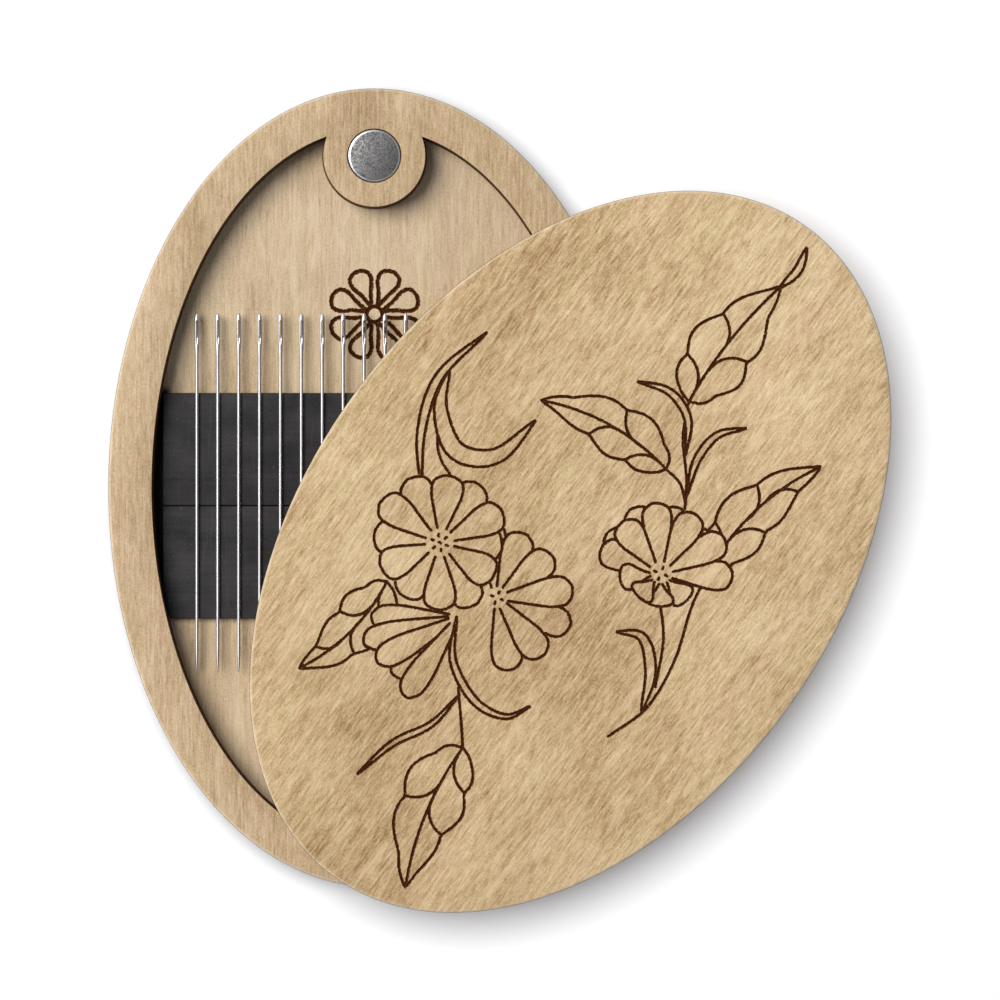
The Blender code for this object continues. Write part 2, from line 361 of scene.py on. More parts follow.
def draw_right_spray(drawing):
    heart = (9.6, 4.0)
    for angle, reach in ((262, 3.6), (306, 3.7), (222, 4.6), (350, 4.2)):
        draw_petal(drawing, heart, angle, 1.2, reach, 1.5)
    drawing.dots(heart, 0.65, 4)
    draw_daisy(drawing, heart, 7.6, [130, 96, 164, 64, 194, 112, 148, 80, 34, 180], 1.7, 1.3)
    draw_leaf(drawing, (0.8, 21.4), (1.5, 37.8), 3.9, 0.04)
    draw_leaf(drawing, (3.2, 13.8), (-12.6, 11.8), 3.1, -0.08)
    draw_leaf(drawing, (13.8, 7.4), (17.0, 24.2), 3.2, 0.08)
    draw_blade(drawing, curve((1.5, 37.6), (2.0, 40.4), (1.3, 43.1)), 0.45)
    draw_blade(drawing, curve((4.0, 16.4), (1.8, 19.8), (-1.6, 21.0), (-5.2, 19.8)), 0.42)
    draw_blade(drawing, curve((6.8, 12.8), (5.4, 16.6), (5.6, 20.2), (7.8, 22.8)), 0.42)
    draw_blade(drawing, curve((17.0, -9.8), (15.2, -5.6), (12.2, -3.0), (9.4, -4.2)), 0.6)
    drawing.stroke(curve((0.8, 21.4), (2.6, 17.8), (5.4, 14.6), (7.2, 12.0), (8.2, 9.8)))
    drawing.stroke(curve((3.2, 13.8), (5.4, 13.4), (7.2, 12.0)))
    drawing.stroke(curve((13.8, 7.4), (14.6, 3.0), (16.6, -3.0), (17.2, -9.0), (15.6, -14.2)))
    drawing.stroke(curve((11.2, 1.6), (14.2, -1.8), (16.6, -6.6)))


def rosette_strokes(centre):
    """A plain eight-petalled rosette."""
    drawing = Drawing()
    for angle in np.arange(8) * 45 + 22.5:
        draw_petal(drawing, centre, angle, 1.3, 5.2, 1.25)
    ring = np.vstack([oval(0.9, 0.9, 24), (0.9, 0)])
    drawing.stroke(resampled(ring, 0.3) + centre)
    return drawing.strokes


# --- Sheets of plywood and magnetic rubber ---------------------------------------------------------


class Solid:
    """Gathers the points and faces of one closed mesh."""

    def __init__(self):
        self.points = []
        self.scorch = []
        self.sanded_and_highlit = []
        self.faces = []
        self.slots = []

    def add(self, points, scorch=0.0, sanded_and_highlit=0.0):
        """Adds points and says which number the first one got."""
        first = len(self.points)
        self.points.extend(tuple(point) for point in points)
        self.scorch.extend(np.broadcast_to(scorch, len(points)))
        self.sanded_and_highlit.extend(np.broadcast_to(sanded_and_highlit, len(points)))
        return first

    def face(self, corners, slot=0):
        self.faces.append([int(corner) for corner in corners])
        self.slots.append(slot)

    def bridge(self, upper, lower, count, slot):
        """A closed band of faces between two rings of this many points."""
        for index in range(count):
            after = (index + 1) % count
            self.face((upper + index, lower + index, lower + after, upper + after), slot)

    def mesh(self, name, place_offset=(0, 0, 0), sharp=40):
        """The welded mesh. "place" holds each point's own place in its sheet, in millimetres."""
        mesh = bpy.data.meshes.new(name)
        mesh.from_pydata(self.points, [], self.faces)
        mesh.polygons.foreach_set("material_index", self.slots)
        for layer, values in (("scorch", self.scorch), ("sanded_and_highlit", self.sanded_and_highlit)):
            attribute = mesh.attributes.new(layer, "FLOAT", "POINT")
            attribute.data.foreach_set("value", np.array(values, np.float32))
        place = mesh.attributes.new("place", "FLOAT_VECTOR", "POINT")
        places = (np.array(self.points) / MM + place_offset).astype(np.float32)
        place.data.foreach_set("vector", places.ravel())
        shape = bmesh.new()
        shape.from_mesh(mesh)
        bmesh.ops.remove_doubles(shape, verts=shape.verts, dist=WELD_DISTANCE)
        bmesh.ops.recalc_face_normals(shape, faces=shape.faces)
        shape.to_mesh(mesh)
        shape.free()
        mesh.shade_smooth()
        mesh.set_sharp_from_angle(angle=math.radians(sharp))
        return mesh


def flat_triangles(outlines, lines):
    """Triangles that fill the first outline but not the others, with edges along the lines."""
    points, edges = [], []
    for line, closed in [(outline, True) for outline in outlines] + lines:
        first = len(points)
        points.extend(Vector(point) for point in line)
        last = len(points) - 1
        edges.extend((index, index + 1) for index in range(first, last))
        if closed:
            edges.append((last, first))
    points, _, faces, *_ = delaunay_2d_cdt(points, edges, [], 0, FILL_TOLERANCE)
    points = np.array([tuple(point) for point in points])
    faces = np.array(faces)
    middles = points[faces].mean(axis=1)
    kept = inside(middles, outlines[0])
    for hole in outlines[1:]:
        kept &= ~inside(middles, hole)
    return points, faces[kept]


def ribbon(line, half_width):
    """A closed outline this far from a line, with round ends."""
    parts = []
    for path in (line, line[::-1]):
        along = path[-1] - path[-2]
        facing = math.atan2(along[1], along[0])
        turns = facing + math.pi * np.array([-0.25, 0, 0.25])
        cap = path[-1] + half_width * np.column_stack([np.cos(turns), np.sin(turns)])
        parts += [beside(path, -half_width), cap]
    return np.vstack(parts)


def groove_lines(strokes, half_width):
    """The edges that a groove's section needs along every stroke."""
    lines = []
    for stroke in strokes:
        lines += [(beside(stroke, share * half_width), False) for share in (-0.55, 0, 0.55)]
        lines += [(ribbon(stroke, share * half_width), True) for share in (1, SCORCH_REACH)]
    return lines


def engraved(points, strokes, half_width, depth):
    """How deep and how scorched the wood is at these points."""
    samples = np.vstack([resampled(stroke, GROOVE_SAMPLE) for stroke in strokes])
    tree = KDTree(len(samples))
    for index, (x, y) in enumerate(samples):
        tree.insert((x, y, 0), index)
    tree.balance()
    share = np.array([tree.find((x, y, 0))[2] for x, y in points]) / half_width
    scorch = np.clip((SCORCH_REACH - share) / (SCORCH_REACH - SCORCH_START), 0, 1)
    return depth * np.clip(1 - share**2, 0, 1), scorch


def edge_profile(bottom, top, top_ease, bottom_ease, taper):
    """(distance into the sheet, height) down its edge, which leans out by the taper and is eased round."""
    turns = np.linspace(0, math.pi / 2, 4)
    upper = [(top_ease * (1 - math.sin(turn)), top - top_ease * (1 - math.cos(turn))) for turn in turns]
    lower = [
        (bottom_ease * (1 - math.cos(turn)) - taper, bottom + bottom_ease * (1 - math.sin(turn)))
        for turn in turns
    ]
    return upper + lower


def sheet(name, levels, outer, holes=(), strokes=(), groove=LID_GROOVE, ease=OUTER_EDGE_EASE, offset=(0, 0)):
    """A flat sheet with (hole, taper) holes, engraved on top. Its cut edges have material slot 1."""
    bottom, top = levels
    edges = [(outer, -1, edge_profile(bottom, top, ease, ease, 0))]
    edges += [(hole, 1, edge_profile(bottom, top, INNER_EDGE_EASE, 0, taper)) for hole, taper in holes]
    solid = Solid()

    # The two flat faces, the upper one with the engraving.
    for row, height, lines in ((0, top, groove_lines(strokes, groove[0])), (-1, bottom, [])):
        rims = [offset_outline(line, outwards * profile[row][0]) / MM for line, outwards, profile in edges]
        points, faces = flat_triangles(rims, lines)
        depths, scorch = engraved(points, strokes, *groove) if lines else (np.zeros(len(points)), 0)
        first = solid.add(np.column_stack([points, height / MM - depths]) * MM, scorch)
        for corners in faces + first:
            solid.face(corners)

    # The cut edges. Only the outer edge's eases are bare wood like the faces.
    for line, outwards, profile in edges:
        rings = []
        for row, (into, height) in enumerate(profile):
            ring = np.column_stack([offset_outline(line, outwards * into), np.full(len(line), height)])
            # The eased rows are paler: wood lightened by sanding, and partly a painted highlight.
            rings.append(solid.add(ring, sanded_and_highlit=float(0 < row < len(profile) - 1)))
        for row, (upper, lower) in enumerate(zip(rings, rings[1:])):
            eased = row < 2 or row > len(rings) - 4
            solid.bridge(upper, lower, len(line), 0 if eased and outwards < 0 else 1)
    return solid.mesh(name, (*offset, -bottom / MM))


# --- Turned pieces and needles ---------------------------------------------------------------------


def turned_disc(name, radius, levels, centre_y, chamfer):
    """A disc with a soft chamfer at both faces, turned about an upright axis."""
    bottom, top = levels
    upper = [(0, top)]
    upper += [(radius - inwards * chamfer, top - down * chamfer) for inwards, down in CHAMFER_PROFILE]
    profile = upper + [(reach, bottom + top - height) for reach, height in reversed(upper)]
    solid = Solid()
    rings = [solid.add([(0, centre_y, profile[0][1])])]
    for reach, height in profile[1:-1]:
        ring = oval(reach, reach, ROUND_POINTS, (0, centre_y))
        points = np.column_stack([ring, np.full(ROUND_POINTS, height)])
        # The rim is marked for a near-white painted highlight.
        rings.append(solid.add(points, sanded_and_highlit=float(reach > radius - MAGNET_HIGHLIGHT_REACH * chamfer)))
    rings.append(solid.add([(0, centre_y, profile[-1][1])]))
    for upper_ring, lower_ring in zip(rings[1:-2], rings[2:-1]):
        solid.bridge(upper_ring, lower_ring, ROUND_POINTS, 0)
    for index in range(ROUND_POINTS):
        after = (index + 1) % ROUND_POINTS
        solid.face((rings[0], rings[1] + index, rings[1] + after))
        solid.face((rings[-1], rings[-2] + after, rings[-2] + index))
    return solid.mesh(name, (0, -centre_y / MM, 0), sharp=50)


def needle_blank(low, high):
    """The needle without its eye: a point, a straight shaft and a flattened head."""
    head = high.x - low.x
    length = high.y - low.y
    middle = (low.z + high.z) / 2
    neck_end = NEEDLE_HEAD_LENGTH + NEEDLE_NECK_LENGTH

    # Where the rings lie along the crown, the head and neck, the shaft and the point.
    from_end = np.concatenate([
        NEEDLE_CROWN_LENGTH * np.linspace(0, 1, 8) ** 2,
        np.linspace(NEEDLE_CROWN_LENGTH + 0.0002, neck_end, 16),
        np.linspace(neck_end + 0.002, length - NEEDLE_POINT_LENGTH, 12),
        length - NEEDLE_POINT_LENGTH * np.linspace(0.92, 0.004, 14) ** 1.6,
    ])
    solid = Solid()
    rings = []
    for distance in from_end:
        crown = math.sqrt(max(1 - max(1 - distance / NEEDLE_CROWN_LENGTH, 0) ** 2, 0.02))
        neck = np.clip((distance - NEEDLE_HEAD_LENGTH) / NEEDLE_NECK_LENGTH, 0, 1)
        neck = neck * neck * (3 - 2 * neck)
        point = min((length - distance) / NEEDLE_POINT_LENGTH, 1)
        point = math.sin(point * math.pi / 2) ** 0.55
        across = (head / 2 * (1 - neck) + NEEDLE_RADIUS * neck) * crown * point
        thickness = HEAD_THICKNESS_SHARE + (1 - HEAD_THICKNESS_SHARE) * neck
        upright = NEEDLE_RADIUS * thickness * crown * point
        ring = oval(across, upright, NEEDLE_POINTS)
        along = np.full(NEEDLE_POINTS, high.y - distance)
        rings.append(solid.add(np.column_stack([ring[:, 0], along, ring[:, 1] + middle])))
    for ring, following in zip(rings, rings[1:]):
        solid.bridge(ring, following, NEEDLE_POINTS, 0)
    solid.face(range(rings[0], rings[0] + NEEDLE_POINTS))
    solid.face(range(rings[-1], rings[-1] + NEEDLE_POINTS))
    return solid.mesh("needle_blank", sharp=60)


def needle_mesh(low, high, steels):
    """The blank with an eye cut through its head and a short gutter in both faces below the eye."""
    middle = (low.z + high.z) / 2
    eye_top = high.y - EYE_FROM_END
    eye_bottom = eye_top - EYE_LENGTH
    blank = scene_object("needle_blank", needle_blank(low, high))
    cutters = [scene_object("eye_cutter", eye_cutter_mesh(eye_top, eye_bottom, middle))]
    for side in (1, -1):
        place = Matrix.Translation((0, eye_bottom, middle + side * NEEDLE_RADIUS))
        size = Matrix.Diagonal((GUTTER_HALF_WIDTH, GUTTER_HALF_LENGTH, GUTTER_DEPTH, 1))
        cutters.append(scene_object("gutter_cutter", ball_mesh(place @ size)))
    for piece in (blank, cutters[0]):
        for steel in steels:
            piece.data.materials.append(steel)
    for cutter in cutters:
        cut = blank.modifiers.new(cutter.name, "BOOLEAN")
        cut.operation = "DIFFERENCE"
        cut.solver = "EXACT"
        cut.object = cutter
    mesh = bpy.data.meshes.new_from_object(blank.evaluated_get(bpy.context.evaluated_depsgraph_get()))
    for helper in [blank, *cutters]:
        bpy.data.objects.remove(helper)
    clean_cuts(mesh)
    mesh.shade_smooth()
    mesh.set_sharp_from_angle(angle=math.radians(50))
    return mesh


def clean_cuts(mesh):
    """Welds the points that the cutting left on top of each other and drops faces with no area."""
    shape = bmesh.new()
    shape.from_mesh(mesh)
    bmesh.ops.remove_doubles(shape, verts=shape.verts, dist=WELD_DISTANCE)
    bmesh.ops.triangulate(shape, faces=shape.faces)
    bmesh.ops.dissolve_degenerate(shape, edges=shape.edges, dist=WELD_DISTANCE)
    shape.to_mesh(mesh)
    shape.free()


def eye_cutter_mesh(top, bottom, middle):
    """A slot with round ends that narrows to a waist halfway through the needle."""
    turns = np.linspace(0, math.pi, 9)
    cap = np.column_stack([np.cos(turns), np.sin(turns)])
    reach = 2 * NEEDLE_RADIUS
    waist = EYE_WAIST_SHARE * EYE_HALF_WIDTH
    flare = waist + (EYE_HALF_WIDTH - waist) * reach / NEEDLE_RADIUS
    solid = Solid()
    rings = []
    for width, height in ((flare, middle + reach), (waist, middle), (flare, middle - reach)):
        outline = np.vstack(
            [width * cap + (0, top - EYE_HALF_WIDTH), -width * cap + (0, bottom + EYE_HALF_WIDTH)]
        )
        rings.append(solid.add(np.column_stack([outline, np.full(len(outline), height)])))
    for upper, lower in zip(rings, rings[1:]):
        solid.bridge(upper, lower, len(outline), 1)
    for ring in (rings[0], rings[-1]):
        solid.face(range(ring, ring + len(outline)), 1)
    return solid.mesh("eye_cutter")


def ball_mesh(matrix):
    shape = bmesh.new()
    bmesh.ops.create_uvsphere(shape, u_segments=20, v_segments=12, radius=1, matrix=matrix)
    mesh = bpy.data.meshes.new("ball")
    shape.to_mesh(mesh)
    shape.free()
    return mesh


def scene_object(name, data):
    thing = bpy.data.objects.new(name, data)
    bpy.context.scene.collection.objects.link(thing)
    return thing


# --- Materials -------------------------------------------------------------------------------------


def shade(red, green, blue):
    """A screen colour, 0 to 255, as the linear colour that a shader takes."""
    linear = [((level / 255 + 0.055) / 1.055) ** 2.4 for level in (red, green, blue)]
    return (*linear, 1)


class Look:
    """A material that is built up node by node. Textures are placed in millimetres."""

    def __init__(self, name, **settings):
        self.material = bpy.data.materials.new(name)
        self.material.use_nodes = True
        self.shader = self.material.node_tree.nodes["Principled BSDF"]
        for socket, value in settings.items():
            self.set(self.shader, socket.replace("_", " "), value)
        self.place = self.attribute("place", "Vector")

    def feed(self, socket, value):
        """Links another node's output to a socket, or sets a constant on it."""
        if isinstance(value, bpy.types.NodeSocket):
            self.material.node_tree.links.new(value, socket)
        else:
            socket.default_value = value

    def set(self, node, socket, value):
        self.feed(node.inputs[socket], value)

    def node(self, kind, inputs, **settings):
        node = self.material.node_tree.nodes.new("ShaderNode" + kind)
        for name, value in settings.items():
            setattr(node, name, value)
        for socket, value in inputs.items():
            self.set(node, socket, value)
        return node

    def attribute(self, name, output):
        return self.node("Attribute", {}, attribute_name=name).outputs[output]

    def noise(self, scale, detail=3.0, seed=0.0, distortion=0.0, roughness=0.55):
        """Noise with this many waves per millimetre along each axis, roughly 0.3 to 0.7."""
        moved = self.node("Mapping", {"Vector": self.place, "Location": (seed, seed, seed), "Scale": scale})
        inputs = {
            "Vector": moved.outputs["Vector"],
            "Scale": 1.0,
            "Detail": detail,
            "Roughness": roughness,
            "Distortion": distortion,
        }
        return self.node("TexNoise", inputs).outputs["Fac"]

    def sum(self, *weighted):
        """0.5 plus the weighted distance of each value from 0.5."""
        total = 0.5
        for value, weight in weighted:
            centred = self.math("SUBTRACT", value, 0.5)
            total = self.math("MULTIPLY_ADD", centred, weight, total)
        return total

    def math(self, operation, first, second=0.0, third=0.0):
        return self.node("Math", {0: first, 1: second, 2: third}, operation=operation).outputs["Value"]

    def spread(self, value, low, high, start=0.0, end=1.0):
        """Maps low to start and high to end, and stops there."""
        inputs = {"Value": value, "From Min": low, "From Max": high, "To Min": start, "To Max": end}
        return self.node("MapRange", inputs).outputs["Result"]

    def ramp(self, value, *stops):
        """A colour ramp through (position, colour) stops."""
        node = self.node("ValToRGB", {"Fac": value})
        elements = node.color_ramp.elements
        while len(elements) < len(stops):
            elements.new(0.5)
        for element, (position, colour) in zip(elements, stops):
            element.position = position
            element.color = colour
        return node.outputs["Color"]

    def mix(self, share, first, second, blend="MIX"):
        """The first colour with this share of the second laid over it."""
        node = self.node("Mix", {}, data_type="RGBA", blend_type=blend)
        sockets = {socket.identifier: socket for socket in (*node.inputs, *node.outputs)}
        for name, value in (("Factor_Float", share), ("A_Color", first), ("B_Color", second)):
            self.feed(sockets[name], value)
        return sockets["Result_Color"]

    def bump(self, height, strength, depth_mm):
        inputs = {"Height": height, "Strength": strength, "Distance": depth_mm * MM}
        self.set(self.shader, "Normal", self.node("Bump", inputs).outputs["Normal"])


def birch(name, tones, streaks, flecks, clouds, seed, painted_gap_shade=None, light_falloff=None):
    """Oiled birch plywood. Streaks, flecks and clouds say how strong each of these is in the grain."""
    deep, middle, pale = tones
    look = Look(name)

    # The grain.
    streak = look.noise((3.6, 0.12, 0.4), detail=5, seed=seed, roughness=0.8)
    fleck = look.noise((3.4, 0.6, 1.6), detail=3, seed=seed + 13, roughness=0.8)
    speck = look.noise((6.0, 4.0, 5.0), detail=1, seed=seed + 17)
    curl = look.noise((0.35, 0.12, 0.3), detail=4, seed=seed + 21, distortion=0.6, roughness=0.65)
    blotch = look.noise((0.07, 0.05, 0.1), detail=3, seed=seed + 29)
    tone = look.sum((streak, streaks), (fleck, flecks), (speck, 0.5), (curl, clouds), (blotch, 0.6))
    wood = look.ramp(tone, (0.1, deep), (0.5, middle), (0.9, pale))
    # Pale wavy figure in the grain, partly a painted sheen.
    flame_and_sheen = look.noise((0.55, 0.09, 0.3), detail=3, seed=seed + 61, distortion=1.2)
    wood = look.mix(look.spread(flame_and_sheen, 0.55, 0.72, 0.0, 0.45), wood, pale)

    # The cast of colour, a painted light falloff that darkens the lid towards its lower left, the dark
    # dashes, and the paler edges from sanding, which are partly a painted highlight.
    band = look.noise((0.5, 0.03, 0.2), detail=4, seed=seed + 7)
    cast = look.ramp(band, (0.3, shade(255, 253, 242)), (0.7, shade(255, 247, 243)))
    wood = look.mix(1.0, wood, cast, "MULTIPLY")
    if light_falloff:
        wood = look.mix(1.0, wood, painted_light_falloff(look, *light_falloff), "MULTIPLY")
    dash = look.noise((2.4, 0.3, 0.5), detail=2, seed=seed + 41)
    wood = look.mix(look.spread(dash, 0.66, 0.74, 0.0, 0.3), wood, shade(124, 88, 52))
    # Paler edges from sanding, partly a painted highlight along the eased rim.
    sanded_and_highlit = look.math("MULTIPLY", look.attribute("sanded_and_highlit", "Fac"), 0.3)
    wood = look.mix(sanded_and_highlit, wood, shade(236, 224, 200))

    # What the laser burnt: a brown halo round a ragged dark line. On the floor, painted shade near black
    # from the strips' ends to the wall.
    laser = look.attribute("scorch", "Fac")
    rough = look.noise((4.5, 4.5, 4.5), detail=2, seed=seed, roughness=0.6)
    scorch = look.sum((laser, 1.0), (rough, 2.4))
    touched = look.spread(laser, 0.0, 0.2)
    halo = look.math("MULTIPLY", touched, look.spread(scorch, 0.25, 0.5, 0.0, 0.7))
    wood = look.mix(halo, wood, shade(124, 78, 34))
    burn = look.math("MULTIPLY", touched, look.spread(scorch, 0.42, 0.68))
    wood = look.mix(burn, wood, look.ramp(rough, (0.35, shade(44, 17, 3)), (0.65, shade(84, 44, 14))))
    # Painted shade: the floor from the strips' ends to the wall is painted near black.
    if painted_gap_shade:
        wood = look.mix(painted_gap_shade_mask(look, *painted_gap_shade), wood, shade(10, 6, 4))

    look.set(look.shader, "Base Color", wood)
    look.set(look.shader, "Specular IOR Level", look.spread(burn, 0.0, 1.0, 0.25, 0.03))
    look.set(look.shader, "Roughness", look.spread(tone, 0.3, 0.7, 0.7, 0.55))
    look.bump(look.sum((streak, 0.4), (fleck, 0.8), (speck, 0.5)), 0.6, 0.09)
    return look.material


def painted_light_falloff(look, middle_x, slant, reach):
    """Painted shade: a light falloff that darkens the wood from its upper right to its lower left, over
    twice this reach in millimetres.
    """
    split = look.node("SeparateXYZ", {"Vector": look.place})
    from_middle = look.math("SUBTRACT", split.outputs["X"], middle_x)
    across = look.math("MULTIPLY_ADD", from_middle, slant, split.outputs["Y"])
    share = look.spread(across, -reach, reach)
    return look.ramp(share, (0.0, shade(235, 232, 227)), (1.0, shade(255, 255, 255)))


def painted_gap_shade_mask(look, strip_end, wall, low, high):
    """Where the floor is painted near black as painted shade: one under the strips and from their ends to
    the wall, and zero elsewhere.

    The strips' end, the wall, and the strips' low and high edges are distances in millimetres.
    """
    split = look.node("SeparateXYZ", {"Vector": look.place})
    ragged = look.noise((1.2, 1.2, 1.2), detail=3, seed=77)
    across = look.math("ABSOLUTE", split.outputs["X"])
    past_end = look.spread(look.math("MULTIPLY_ADD", ragged, 0.6, across), strip_end - 0.7, strip_end)
    under_strips = look.spread(split.outputs["Y"], high - 1.0, high - 0.5, 1.0, 0.0)
    reached = look.math("MAXIMUM", past_end, under_strips)
    inside_wall = look.spread(across, wall + 0.5, wall + 1.0, 1.0, 0.0)
    above_low = look.spread(split.outputs["Y"], low + 0.5, low + 2.5)
    along = look.math("MULTIPLY_ADD", ragged, 0.6, split.outputs["Y"])
    below_high = look.spread(along, high + 0.5, high + 1.2, 1.0, 0.0)
    along_strips = look.math("MULTIPLY", above_low, below_high)
    return look.math("MULTIPLY", look.math("MULTIPLY", reached, inside_wall), along_strips)


def charred_edge():
    """Laser-cut plywood edge: three plies, browned most at the glue lines."""
    look = Look("charred_edge", Specular_IOR_Level=0.2)
    height = look.node("SeparateXYZ", {"Vector": look.place}).outputs["Z"]
    wander = look.noise((0.25, 0.25, 0.05), detail=2, seed=3)
    level = look.math("MULTIPLY_ADD", wander, 0.12, height)
    plies = look.ramp(
        look.math("DIVIDE", level, SHEET_THICKNESS),
        (0.0, shade(96, 62, 34)),
        (0.30, shade(108, 72, 42)),
        (0.35, shade(52, 30, 15)),
        (0.39, shade(84, 52, 29)),
        (0.64, shade(80, 50, 28)),
        (0.68, shade(50, 28, 14)),
        (0.73, shade(112, 76, 44)),
        (1.0, shade(98, 64, 36)),
    )
    fibre = look.noise((2.5, 2.5, 5.0), detail=4, seed=8, roughness=0.7)
    ash = look.noise((0.5, 0.5, 0.6), detail=3, seed=12)
    burnt = look.sum((fibre, 1.0), (ash, 0.8))
    tone = look.ramp(burnt, (0.3, shade(150, 140, 130)), (0.7, shade(255, 255, 255)))
    look.set(look.shader, "Base Color", look.mix(1.0, plies, tone, "MULTIPLY"))
    look.set(look.shader, "Roughness", look.spread(fibre, 0.3, 0.7, 0.85, 0.65))
    look.bump(fibre, 0.6, 0.08)
    return look.material


def nickel_plating():
    """Nickel plating with the fine speckle of a tumbled magnet, light scratches, and a near-white painted
    highlight round its rim.
    """
    look = Look("nickel_plating", Metallic=1.0)
    speckle = look.noise((6.0, 6.0, 6.0), detail=1, roughness=0.6)
    cloud = look.noise((0.4, 0.4, 0.4), detail=3, seed=11)
    scratch = look.noise((0.5, 9.0, 1.0), detail=2, seed=23)
    tone = look.sum((speckle, 1.6), (cloud, 0.5), (scratch, 0.2))
    metal = look.ramp(
        tone, (0.2, shade(84, 82, 82)), (0.5, shade(130, 127, 126)), (0.8, shade(178, 175, 173))
    )
    # The rim is painted near white as a painted highlight.
    metal = look.mix(look.attribute("sanded_and_highlit", "Fac"), metal, shade(246, 244, 240))
    look.set(look.shader, "Base Color", metal)
    look.set(look.shader, "Roughness", look.spread(tone, 0.3, 0.7, 0.5, 0.32))
    look.bump(look.sum((speckle, 1.0), (scratch, 0.3)), 0.4, 0.03)
    return look.material


def magnetic_rubber():
    """Flexible magnetic sheet: matt charcoal with faint calender lines, dust and needle rubs."""
    look = Look("magnetic_rubber", Specular_IOR_Level=0.25)
    lines = look.noise((0.05, 5.0, 0.5), detail=3, roughness=0.6)
    grain = look.noise((7.0, 7.0, 7.0), detail=3, seed=5)
    cloud = look.noise((0.15, 0.25, 0.2), detail=3, seed=15)
    dust = look.noise((2.4, 2.4, 2.4), detail=2, seed=31)
    rub = look.noise((3.2, 0.12, 1.0), detail=2, seed=37)
    tone = look.sum((lines, 0.3), (grain, 0.5), (cloud, 1.0))
    rubber = look.ramp(tone, (0.3, shade(36, 34, 34)), (0.7, shade(57, 54, 54)))
    rubber = look.mix(look.spread(rub, 0.62, 0.74, 0.0, 0.3), rubber, shade(80, 78, 77))
    rubber = look.mix(look.spread(dust, 0.72, 0.76, 0.0, 0.45), rubber, shade(124, 118, 108))
    look.set(look.shader, "Base Color", rubber)
    look.set(look.shader, "Roughness", look.spread(tone, 0.3, 0.7, 0.75, 0.6))
    look.bump(look.sum((lines, 0.4), (grain, 0.6)), 0.4, 0.03)
    return look.material


def needle_steel():
    """Polished steel with faint draw marks along the needle."""
    look = Look("needle_steel", Metallic=1.0)
    draw = look.noise((12.0, 0.3, 12.0), detail=1)
    cloud = look.noise((1.0, 0.25, 1.0), detail=2, seed=9)
    tone = look.sum((draw, 0.15), (cloud, 0.6))
    steel = look.ramp(tone, (0.3, shade(192, 191, 192)), (0.7, shade(214, 212, 210)))
    look.set(look.shader, "Base Color", steel)
    look.set(look.shader, "Roughness", look.spread(tone, 0.3, 0.7, 0.5, 0.4))
    return look.material


def eye_shade_steel():
    """Dark grey steel inside a needle's eye, painted dark as painted shade."""
    look = Look("eye_shade_steel", Metallic=0.3)
    scale = look.noise((8.0, 4.0, 8.0), detail=2, seed=3)
    look.set(look.shader, "Base Color", look.ramp(scale, (0.3, shade(48, 46, 46)), (0.7, shade(84, 80, 78))))
    look.set(look.shader, "Roughness", look.spread(scale, 0.3, 0.7, 0.8, 0.6))
    return look.material


# --- The object ------------------------------------------------------------------------------------


def add_piece(name, mesh, materials, body, node, location=(0, 0, 0)):
    """Puts a piece in the scene for its CAD node. A mesh that has its materials already keeps them."""
    piece = scene_object(name, mesh)
    piece.location = location
    if not mesh.materials:
        for material in materials:
            mesh.materials.append(material)
    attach(piece, body)
    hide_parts(node)


def add_wooden_parts():
    """The lid's two sheets are modelled in the closed case and then turned to where the lid rests."""
    ring_tones = (shade(154, 124, 89), shade(203, 177, 142), shade(236, 215, 183))
    floor_tones = (shade(172, 145, 111), shade(213, 191, 159), shade(240, 223, 195))
    lid_tones = (shade(156, 121, 80), shade(215, 187, 145), shade(250, 228, 190))
    strip_low, strip_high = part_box("magnet_strip_lower")[0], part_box("magnet_strip_upper")[1]
    # The strips' ends, the wall and the strips' edges, which bound the floor's painted shade near the wall.
    painted_gap_shade = (strip_high.x / MM, RECESS_HALF_WIDTH / MM, strip_low.y / MM, strip_high.y / MM)
    lid_plate_number = 3
    # Painted light falloff on the lid: darker towards its lower left.
    light_falloff = (SHEET_SPACING * lid_plate_number, 1.4, 62)
    ring = birch("birch_ring", ring_tones, streaks=0.9, flecks=0.8, clouds=0.35, seed=0.0)
    floor = birch("birch_floor", floor_tones, streaks=0.8, flecks=0.5, clouds=0.35, seed=50.0, painted_gap_shade=painted_gap_shade)
    cover = birch("birch_lid", lid_tones, streaks=0.8, flecks=1.25, clouds=0.5, seed=90.0, light_falloff=light_falloff)
    edge = charred_edge()
    outer, holes = case_outline(), frame_holes()
    plates = (
        ("base_plate", "base", floor, [], rosette_strokes(ROSETTE_CENTRE), FLOOR_GROOVE),
        ("base_frame", "base", ring, holes, [], LID_GROOVE),
        ("lid_frame", "lid", ring, holes, [], LID_GROOVE),
        ("lid_plate", "lid", cover, [], lid_strokes(), LID_GROOVE),
    )
    for number, (node, body, wood, cuts, strokes, groove) in enumerate(plates):
        place = (SHEET_SPACING * number, 0)
        mesh = sheet(node, heights(node), outer, cuts, strokes, groove, offset=place)
        if body == "lid":
            mesh.transform(LID_REST)
        add_piece(node + "_wood", mesh, (wood, edge), body, node)


def add_magnets():
    metal = nickel_plating()
    ends = {"closing": MAGNET_OFFSET, "pivot": -MAGNET_OFFSET}
    for node, body in (
        ("base_closing_magnet", "base"),
        ("base_pivot_magnet", "base"),
        ("lid_pivot_magnet", "lid_pivot"),
        ("lid_closing_magnet", "lid"),
    ):
        centre_y = ends[node.split("_")[1]]
        mesh = turned_disc(node, MAGNET_RADIUS, heights(node), centre_y, MAGNET_CHAMFER)
        if node.startswith("lid"):
            mesh.transform(LID_REST)
        add_piece(node + "_disc", mesh, (metal,), body, node)


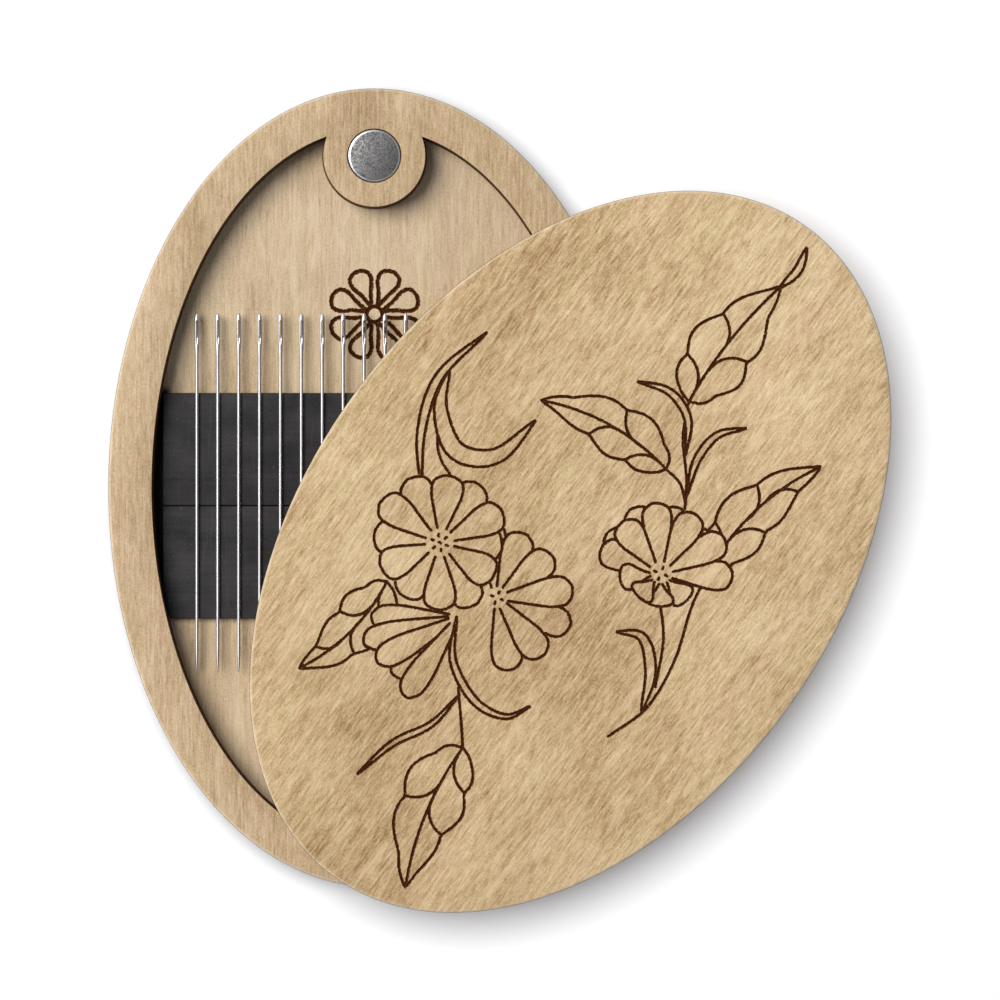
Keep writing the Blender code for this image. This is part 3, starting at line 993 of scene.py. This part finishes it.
def strip_outline(low, high, trims):
    """A strip's rectangle with its two lower corners cut away by (across, along)."""
    across, along = trims
    return np.array(
        [
            (low.x + across, low.y),
            (high.x - across, low.y),
            (high.x, low.y + along),
            (high.x, high.y),
            (low.x, high.y),
            (low.x, low.y + along),
        ]
    )


def add_strips():
    rubber = magnetic_rubber()
    strips = (("magnet_strip_upper", UPPER_STRIP_TRIMS), ("magnet_strip_lower", LOWER_STRIP_TRIMS))
    for number, (node, trims) in enumerate(strips):
        outline = strip_outline(*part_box(node), trims)
        place = (0, STRIP_SPACING * number)
        mesh = sheet(node, heights(node), outline, ease=STRIP_EDGE_EASE, offset=place)
        add_piece(node + "_sheet", mesh, (rubber, rubber), "base", node)


def add_needles():
    """Every needle shares the first one's mesh."""
    steels = (needle_steel(), eye_shade_steel())
    loose = ("needle_01", "needle_02", "needle_03")
    first_low, first_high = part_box("needle_01")
    middle = Vector(((first_low.x + first_high.x) / 2, 0, 0))
    mesh = needle_mesh(first_low - middle, first_high - middle, steels)
    for node in sorted(name for name in frame["nodes"] if name.startswith("needle_")):
        low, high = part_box(node)
        body = node if node in loose else "base"
        place = ((low.x + high.x) / 2, 0, 0)
        add_piece(node + "_steel", mesh, steels, body, node, place)


# --- The studio ------------------------------------------------------------------------------------


def add_floor():
    mesh = bpy.data.meshes.new("studio_floor")
    corners = [(-1, -1), (1, -1), (1, 1), (-1, 1)]
    mesh.from_pydata([(FLOOR_REACH * x, FLOOR_REACH * y, 0) for x, y in corners], [], [(0, 1, 2, 3)])
    floor = scene_object("studio_floor", mesh)
    paper = bpy.data.materials.new("white_paper")
    paper.use_nodes = True
    shader = paper.node_tree.nodes["Principled BSDF"]
    shader.inputs["Base Color"].default_value = PAPER_COLOUR
    shader.inputs["Roughness"].default_value = 0.9
    shader.inputs["Specular IOR Level"].default_value = 0.1
    mesh.materials.append(paper)


def add_light(name, tilt, turn, size, power, receivers):
    """A round soft light, tilted to the left of overhead and then turned clockwise, for some pieces only."""
    light = bpy.data.lights.new(name, "AREA")
    light.shape = "DISK"
    light.size = size
    light.energy = power
    lamp = scene_object(name, light)
    lamp.rotation_euler = Euler((0, -math.radians(tilt), -math.radians(turn)), "XYZ")
    aim = Vector((CAMERA_PLACE[0], CAMERA_PLACE[1], 0))
    lamp.location = aim + lamp.rotation_euler.to_matrix() @ Vector((0, 0, LIGHT_DISTANCE))
    lit = bpy.data.collections.new(name + "_receivers")
    for receiver in receivers:
        lit.objects.link(receiver)
    lamp.light_linking.receiver_collection = lit


def add_lights():
    """The floor's light hangs almost overhead, so that the case's shadow on it stays short and soft."""
    shown = [piece for piece in bpy.context.scene.objects if piece.type == "MESH"]
    floor = [piece for piece in shown if piece.name == "studio_floor"]
    pieces = [piece for piece in shown if piece not in floor and not piece.hide_render]
    add_light("object_key", *OBJECT_KEY, pieces)
    add_light("floor_key", *FLOOR_KEY, floor)


def add_world():
    """A pale blue-grey room that darkens towards its ceiling."""
    world = bpy.data.worlds.new("studio")
    world.use_nodes = True
    bpy.context.scene.world = world
    nodes, links = world.node_tree.nodes, world.node_tree.links
    place = nodes.new("ShaderNodeTexCoord")
    split = nodes.new("ShaderNodeSeparateXYZ")
    ramp = nodes.new("ShaderNodeValToRGB")
    links.new(place.outputs["Generated"], split.inputs["Vector"])
    links.new(split.outputs["Z"], ramp.inputs["Fac"])
    links.new(ramp.outputs["Color"], nodes["Background"].inputs["Color"])
    walls, ceiling = ramp.color_ramp.elements
    walls.position, walls.color = 0.1, WALL_COLOUR
    ceiling.position, ceiling.color = 0.85, CEILING_COLOUR


def add_camera():
    camera = scene_object("camera", bpy.data.cameras.new("camera"))
    camera.location = CAMERA_PLACE
    camera.data.lens = CAMERA_LENS
    bpy.context.scene.camera = camera


add_wooden_parts()
add_magnets()
add_strips()
add_needles()
add_floor()
add_lights()
add_world()
add_camera()
bpy.context.scene.view_settings.view_transform = "Standard"

bpy.context.view_layer.update()
